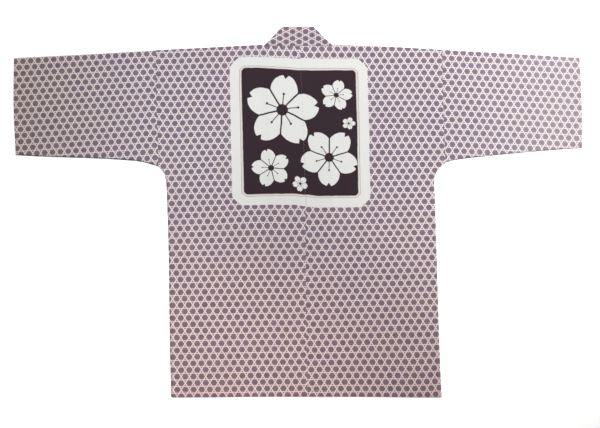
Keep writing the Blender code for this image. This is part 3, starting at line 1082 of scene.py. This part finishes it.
def sleeve_edge_shade_finish(add, colour):
    """Painted shade: a line of grey along a sleeve's lower edge, where its turned-down fold lies
    in shade.
    """
    edge = add(PARTS, (add(UV_MAP, uv_map="edge"),)).node
    start, end = EDGE_SHADE_BAND
    beside = add(RANGE, (edge.outputs[0], start * METRES, end * METRES, 0.0, 1.0))
    share = add(MATH, (beside, edge.outputs[1]), "MULTIPLY")
    return add(MIX, {0: share, 6: colour, 7: EDGE_SHADE_TINT}, **TINTED)


def panel_finish(add, colour):
    """The back's panel is dyed into the cloth: a white surround, a thin line and a dark field
    with white blossoms. It lies flat in the weave, so the eye sees no edge."""
    place = stray(add, add(UV_MAP, uv_map="panel"), *PANEL_STRAY)
    bleed = PANEL_BLEED * METRES
    surround_half = [half + reach for half, reach in zip(FIELD_HALF, SURROUND_REACH)]
    surround = outside_panel(add, place, surround_half, SURROUND_CORNER)
    surround = add(RANGE, (surround, -bleed, bleed, 1.0, 0.0))
    field_away = outside_panel(add, place, FIELD_HALF, FIELD_CORNER)
    field = add(RANGE, (field_away, -bleed, bleed, 1.0, 0.0))
    line_away = add(MATH, (field_away, LINE_REACH * METRES), "SUBTRACT")
    line_away = add(MATH, (line_away,), "ABSOLUTE")
    half_line = LINE_WIDTH / 2 * METRES
    line = add(RANGE, (line_away, half_line * 0.5, half_line * 1.5, 0.75, 0.0))
    tint = add(RANGE, (field_away, 0.0, LINE_REACH * METRES, 0.75, 0.0))

    drawing = blossom_group()
    petals = None
    for blossom in BLOSSOMS:
        one = add("ShaderNodeGroup", {
            "Place": place, "Middle": (blossom.x * METRES, blossom.y * METRES, 0),
            "Radius": blossom.radius * METRES, "Turn": math.radians(blossom.turn)},
            node_tree=drawing)
        petals = one if petals is None else add(MATH, (petals, one), "MAXIMUM")

    white = add(MIX, {0: tint, 6: PANEL_WHITE, 7: PANEL_TINT}, **COLOURS)
    white = add(MIX, {0: line, 6: white, 7: PANEL_LINE}, **COLOURS)
    dark = add(MIX, {0: petals, 6: PANEL_DARK, 7: PANEL_WHITE}, **COLOURS)
    panel = add(MIX, {0: field, 6: white, 7: dark}, **COLOURS)
    return add(MIX, {0: surround, 6: colour, 7: panel}, **COLOURS)


def sewing_thread():
    """Spun polyester thread in the ground's colour, which gives the eye small raised dashes."""
    material, add = new_material("spun_thread")
    place = add("ShaderNodeTexCoord", out=3)
    twist = add("ShaderNodeTexWave", {"Vector": place, "Scale": 900.0, "Distortion": 2.0},
                out=1, wave_type="BANDS", bands_direction="DIAGONAL")
    colour = add(MIX, {0: twist, 6: linear("b09fa8"), 7: linear("cdbfc4")}, **COLOURS)
    bump = add("ShaderNodeBump", {"Strength": 0.4, "Distance": 0.00005, "Height": twist})
    shader = add("ShaderNodeBsdfPrincipled", {
        "Base Color": colour, "Roughness": 0.6, "Normal": bump, "Metallic": 0.0})
    add("ShaderNodeOutputMaterial", (shader,))
    return material


CARD_GLOW = 0.42


def floor_card():
    """Smooth white card with a faint tooth. A faint glow keeps it plain and pale to its edges."""
    material, add = new_material("white_card")
    place = add("ShaderNodeTexCoord", out=3)
    tooth = add(NOISE, {"Vector": place, "Scale": 400.0, "Detail": 3.0})
    colour = add(MIX, {0: tooth, 6: linear("f8f8f7"), 7: linear("fdfdfc")}, **COLOURS)
    bump = add("ShaderNodeBump", {"Strength": 0.1, "Distance": 0.0001, "Height": tooth})
    shader = add("ShaderNodeBsdfPrincipled", {
        "Base Color": colour, "Roughness": 0.9, "Normal": bump, "Specular IOR Level": 0.2,
        "Emission Color": (1.0, 1.0, 1.0, 1.0), "Emission Strength": CARD_GLOW})
    add("ShaderNodeOutputMaterial", (shader,))
    return material


# Lengths of the stitches, for the inputs of their geometry nodes too
STITCH_SPACING = 3.0
STITCH_LENGTH = 2.3
THREAD = 0.35
STITCH_SIZES = {"Spacing": STITCH_SPACING * METRES, "Stitch length": STITCH_LENGTH * METRES,
                "Thread": THREAD * METRES}
HEM_STITCH_DEPTH = 13.0
STITCH_END = 1.5
CUFF_STITCH_SHARES = (0.02, 0.98)
THREAD_CLEAR = THREAD * 0.1


def stitch_tree(thread):
    """Geometry nodes that lay one small spindle of thread for each stitch along a line."""
    tree = bpy.data.node_groups.new("running_stitches", "GeometryNodeTree")
    add = partial(add_node, tree)
    face = tree.interface
    face.new_socket("Line", in_out="INPUT", socket_type="NodeSocketGeometry")
    for name in STITCH_SIZES:
        face.new_socket(name, in_out="INPUT", socket_type="NodeSocketFloat")
    face.new_socket("Stitches", in_out="OUTPUT", socket_type="NodeSocketGeometry")
    given = tree.nodes.new("NodeGroupInput").outputs
    places = add("GeometryNodeResampleCurve",
                 {"Curve": given["Line"], "Length": given["Spacing"]}, mode="LENGTH")
    spindle = add("GeometryNodeMeshUVSphere", {"Segments": 6, "Rings": 4, "Radius": 0.5})
    size = add("ShaderNodeCombineXYZ", (given["Stitch length"], given["Thread"], given["Thread"]))
    lying = add("FunctionNodeAlignRotationToVector",
                {"Vector": add("GeometryNodeInputTangent")}, axis="X")
    laid = add("GeometryNodeInstanceOnPoints",
               {"Points": places, "Instance": spindle, "Rotation": lying, "Scale": size})
    real = add("GeometryNodeRealizeInstances", {"Geometry": laid})
    dressed = add("GeometryNodeSetMaterial", {"Geometry": real, "Material": thread})
    add("NodeGroupOutput", {"Stitches": dressed})
    return tree


def stitch_object(name, line, tree, thread):
    """A plain mesh of stitches along a line of points."""
    curve = bpy.data.curves.new(name + "_line", "CURVE")
    curve.dimensions = "3D"
    spline = curve.splines.new("POLY")
    spline.points.add(len(line) - 1)
    for point, place in zip(spline.points, line):
        point.co = (*[value * METRES for value in place], 1)
    guide = new_object(name + "_guide", curve)
    sewing = guide.modifiers.new("Stitches", "NODES")
    sewing.node_group = tree
    for item in tree.interface.items_tree:
        if item.name in STITCH_SIZES:
            sewing[item.identifier] = STITCH_SIZES[item.name]
    evaluated = guide.evaluated_get(bpy.context.evaluated_depsgraph_get())
    mesh = bpy.data.meshes.new_from_object(evaluated)
    mesh.name = name
    bpy.data.objects.remove(guide, do_unlink=True)
    mesh.materials.clear()
    mesh.materials.append(thread)
    return new_object(name, mesh)


def hem_stitch_line(side):
    """A line of stitches on the outside of the back hem."""
    above = WALL / 2 + THREAD_CLEAR
    start = outer_edge(side, HEM_Y + HEM_STITCH_DEPTH) - side.outward * STITCH_END
    seam_x = CENTRE_SEAM.at(HEM_Y) + side.outward * STITCH_END
    count = round(abs(start - seam_x) / CELL)
    points = []
    for step in range(count + 1):
        x = blend(start, seam_x, step / count)
        y = HEM.at(x) + HEM_STITCH_DEPTH
        points.append((x, y, upper_height(side, x, y) + above))
    return points


def cuff_stitch_line(side):
    """A line of stitches on the outside of the cuff's upper layer."""
    above = WALL / 2 + THREAD_CLEAR
    points = []
    count = round(SLEEVE_WIDTH / CELL)
    for step in range(count + 1):
        share = blend(*CUFF_STITCH_SHARES, step / count)
        x = side.cuff.at(share) - side.outward * HEM_STITCH_DEPTH
        top, low = side.shoulder.at(x), side.sleeve_low.at(x)
        y = blend(top, low, share)
        points.append((x, y, upper_height(side, x, y) + above))
    return points


def dress_coat():
    panelled = cotton("dyed_panel_cotton", panel_finish)
    # The sleeves' cotton has painted shade along their lower edges
    edge_shaded = cotton("dyed_lattice_cotton", sleeve_edge_shade_finish)
    banded = cotton("dyed_band_cotton", band_finish)
    thread = sewing_thread()
    sewing = stitch_tree(thread)
    for side in (LEFT, RIGHT):
        body = cloth_object(f"{side.name}_length", body_patches(side), panelled,
                            "panel", partial(on_panel, side))
        sleeve = cloth_object(f"{side.name}_sleeve_tube", sleeve_patches(side), edge_shaded,
                              "edge", partial(on_sleeve_edge, side))
        hem_stitches = stitch_object(f"{side.name}_hem_stitches", hem_stitch_line(side),
                                     sewing, thread)
        cuff_stitches = stitch_object(f"{side.name}_cuff_stitches", cuff_stitch_line(side),
                                      sewing, thread)
        for piece in (body, sleeve, hem_stitches, cuff_stitches):
            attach(piece, "root")
        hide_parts(f"body_{side.name}")
        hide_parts(f"sleeve_{side.name}")
    patches, rings = collar_patches()
    band = cloth_object("collar_band", patches + band_ends(rings), banded)
    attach(band, "root")
    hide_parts("collar")


FLOOR_HALF = 6.0


def make_floor():
    bm = bmesh.new()
    bmesh.ops.create_grid(bm, x_segments=8, y_segments=8, size=FLOOR_HALF)
    mesh = bpy.data.meshes.new("floor")
    bm.to_mesh(mesh)
    bm.free()
    mesh.materials.append(floor_card())
    floor = new_object("floor", mesh)


# Places, aims and sizes in metres, power in watts, spread in degrees
Lamp = namedtuple("Lamp", "name place aim size power spread colour")

LAMPS = (
    Lamp("key", (-0.41, 1.65, 2.55), (-0.02, 0.08, 0), 1.4, 49.3, 180, (0.975, 0.98, 0.99)),
    Lamp("right_lamp", (0.53, 0.90, 0.61), (0.49, 0.38, 0), 0.7, 6.5, 180, (1.0, 0.985, 0.97)),
    Lamp("left_lamp", (-0.26, 0.09, 0.46), (-0.81, 0.47, 0), 0.6, 0.96, 180, (1.0, 0.99, 0.98)),
    Lamp("hem_lamp", (0.03, -0.09, 0.70), (-0.47, -0.88, 0), 0.45, 2.02, 100,
         (1.0, 0.94, 0.88)),
    Lamp("side_lamp", (0.68, -0.07, 0.40), (0.35, 0.30, 0), 0.9, 2.7, 180, (1.0, 0.97, 0.96)),
    Lamp("back_lamp", (0.135, 0.0, 0.19), (0.11, -0.03, 0), 0.25, 0.047, 180, (1.0, 0.98, 0.97)),
)
FILL_COLOUR = (1.0, 0.985, 0.97, 1.0)
FILL_STRENGTH = 0.13


def light_coat():
    """Plain soft studio light: a large lamp beyond the left shoulder, two by the right cuff and
    three weak ones over the coat's left, its hem and the middle of its back."""
    for lamp in LAMPS:
        data = bpy.data.lights.new(lamp.name, "AREA")
        data.shape = "DISK"
        data.size = lamp.size
        data.energy = lamp.power
        data.spread = math.radians(lamp.spread)
        data.color = lamp.colour
        light = new_object(lamp.name, data)
        light.location = lamp.place
        light.rotation_euler = (Vector(lamp.aim) - Vector(lamp.place)).to_track_quat(
            "-Z", "Y").to_euler()
        light.visible_camera = False
    world = bpy.data.worlds.new("studio")
    world.use_nodes = True
    background = world.node_tree.nodes["Background"]
    background.inputs["Color"].default_value = FILL_COLOUR
    background.inputs["Strength"].default_value = FILL_STRENGTH
    bpy.context.scene.world = world
    bpy.context.scene.view_settings.view_transform = "Standard"


CAMERA_PLACE = (0.0080, -0.5689, 3.1514)
CAMERA_TILT = 10
LENS = 84.95


def set_camera():
    """Looks down from 3.2 m, ten degrees off straight down, as the coat is seen."""
    data = bpy.data.cameras.new("camera")
    data.sensor_width = 36.0
    data.lens = LENS
    camera = new_object("camera", data)
    camera.location = CAMERA_PLACE
    camera.rotation_euler = (math.radians(CAMERA_TILT), 0, 0)
    bpy.context.scene.camera = camera


set_camera()
make_floor()
light_coat()
dress_coat()
